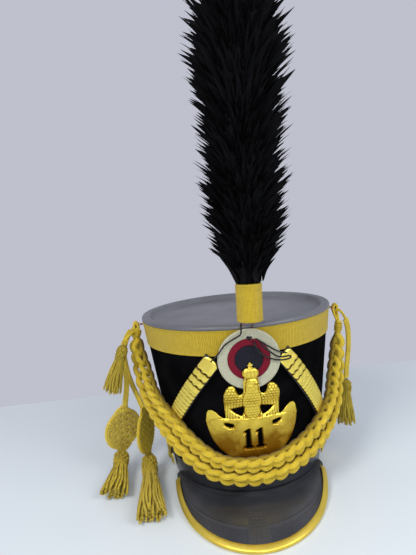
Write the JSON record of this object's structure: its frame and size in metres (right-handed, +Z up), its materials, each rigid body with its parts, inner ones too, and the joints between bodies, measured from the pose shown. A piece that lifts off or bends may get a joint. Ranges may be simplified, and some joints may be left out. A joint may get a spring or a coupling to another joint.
{
  "type": "shako hat",
  "caption": "Stiff felt military cap with a leather top and peak, brass front plate and chin scales, cockade, tall feather plume, and a yellow plait with tassels.",
  "frame": {"origin": "on the surface the hat stands on, under the middle of the hat's box without its cord work", "axes": "+Z up, front (peak and plate) towards -Y, the viewer's right as they face the front is +X"},
  "size_m": [0.338, 0.315, 0.5755],
  "materials": {
    "felt": "matt black felt",
    "crown_leather": "satin grey-black leather",
    "leather": "satin black leather",
    "lace": "mustard-gold woven braid",
    "cord": "gold-yellow twisted silk cord",
    "net_cord": "dark mustard woven net cord",
    "brass": "polished stamped brass",
    "copper_wire": "thin copper-coloured wire",
    "feather": "black cock feathers",
    "cream_wool": "cream worsted",
    "crimson_wool": "crimson worsted",
    "navy_wool": "navy worsted",
    "lacing": "thin black lace"
  },
  "bodies": {
    "root": {"felt_body": "felt", "crown_top": "crown_leather", "lace_band": "lace", "base_band": "leather", "peak": "leather", "peak_binding": "brass", "cockade_outer": "cream_wool", "cockade_middle": "crimson_wool", "cockade_centre": "navy_wool", "eagle_plate": "brass", "plume_sleeve": "lace", "plume": "feather", "chin_strap_left": "leather", "chin_strap_right": "leather", "chin_scales_left": "brass", "chin_scales_right": "brass", "rosette_left": "brass", "rosette_right": "brass", "plume_wire_left": "copper_wire", "plume_wire_right": "copper_wire", "wire_hook_left": "copper_wire", "wire_hook_right": "copper_wire", "front_plait": "cord", "knot_left": "cord", "knot_right": "cord", "side_cord_front": "cord", "side_cord_back": "cord", "side_cord_right": "cord", "raquette_front": "net_cord", "raquette_back": "cord", "tassel_front": "cord", "tassel_back": "cord", "tassel_upper": "cord", "tassel_right": "cord", "lace_left": "lacing", "lace_right": "lacing", "lace_loop": "lacing", "lace_knot": "lacing"}
  },
  "joints": []
}
